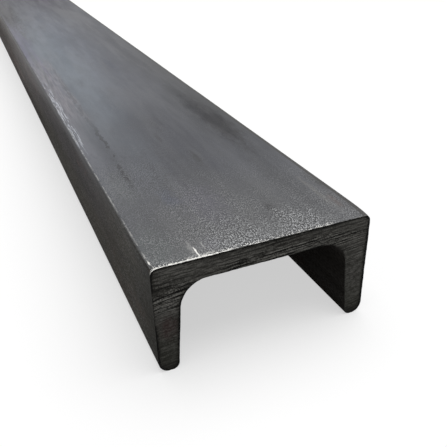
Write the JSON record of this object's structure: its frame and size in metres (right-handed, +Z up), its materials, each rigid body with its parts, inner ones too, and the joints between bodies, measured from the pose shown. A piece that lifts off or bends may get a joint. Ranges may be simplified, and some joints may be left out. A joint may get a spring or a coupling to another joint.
{
  "type": "steel channel",
  "caption": "Hot-rolled steel channel bar: a flat web with two tapered flanges, rounded at the roots and toes, sawn square at both ends.",
  "frame": {"origin": "middle of the bar's length and width, on the plane that the two toes lie on", "axes": "+Y along the bar towards its far end, +X across the web, +Z up from the toes to the back of the web"},
  "size_m": [0.05, 0.5, 0.026],
  "materials": {
    "scaled_steel": "matte"
  },
  "bodies": {
    "root": {"channel": "scaled_steel"}
  },
  "joints": []
}
